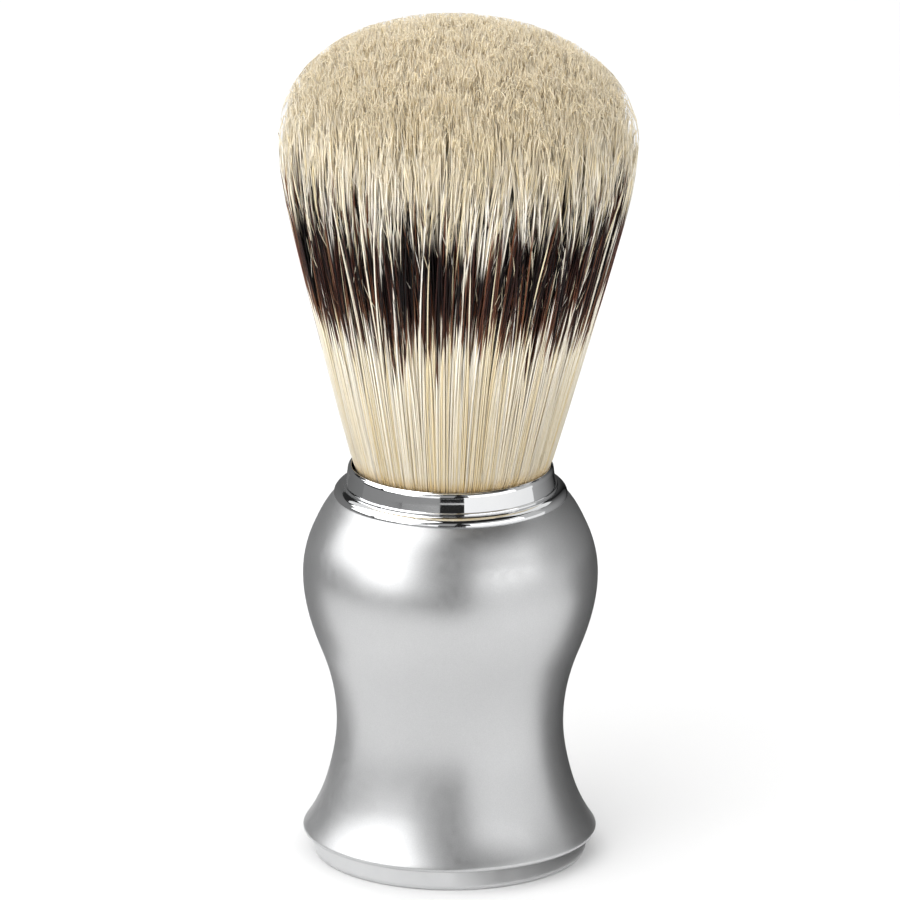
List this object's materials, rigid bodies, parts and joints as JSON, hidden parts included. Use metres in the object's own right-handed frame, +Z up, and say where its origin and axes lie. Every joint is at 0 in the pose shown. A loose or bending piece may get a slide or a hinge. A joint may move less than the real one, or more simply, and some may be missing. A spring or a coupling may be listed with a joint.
{
  "type": "shaving brush",
  "caption": "Free-standing shaving brush: a domed fan of banded boar bristle in a polished ferrule and collar on a waisted satin silver handle with a flared foot.",
  "frame": {"origin": "centre of the flat face the brush stands on", "axes": "+Z up the brush's axis from the base to the bristle tips; the brush is turned, so X and Y are alike"},
  "size_m": [0.0454, 0.0454, 0.1094],
  "materials": {
    "satin_shell": "hard moulded plastic, metallised satin silver under a thin clear lacquer",
    "cap_plastic": "moulded plastic, fine matt grain, pale silver grey",
    "polished_chrome": "mirror-polished chrome plate",
    "boar_bristle": "natural boar bristle, cream roots and tips with one dark brown band",
    "bonding_resin": "set amber epoxy resin",
    "adhesive_bed": "set clear adhesive",
    "binding_thread": "waxed twisted thread",
    "ballast_steel": "turned bare steel",
    "pad_foam": "closed-cell foam"
  },
  "bodies": {
    "root": {"handle_shell": "satin_shell", "base_cap": "cap_plastic", "ballast_pad": "pad_foam", "ballast_weight": "ballast_steel", "setting_adhesive": "adhesive_bed", "collar_ring": "polished_chrome", "knot_ferrule": "polished_chrome", "resin_plug": "bonding_resin", "root_binding": "binding_thread", "bristle_knot": "boar_bristle"}
  },
  "joints": []
}
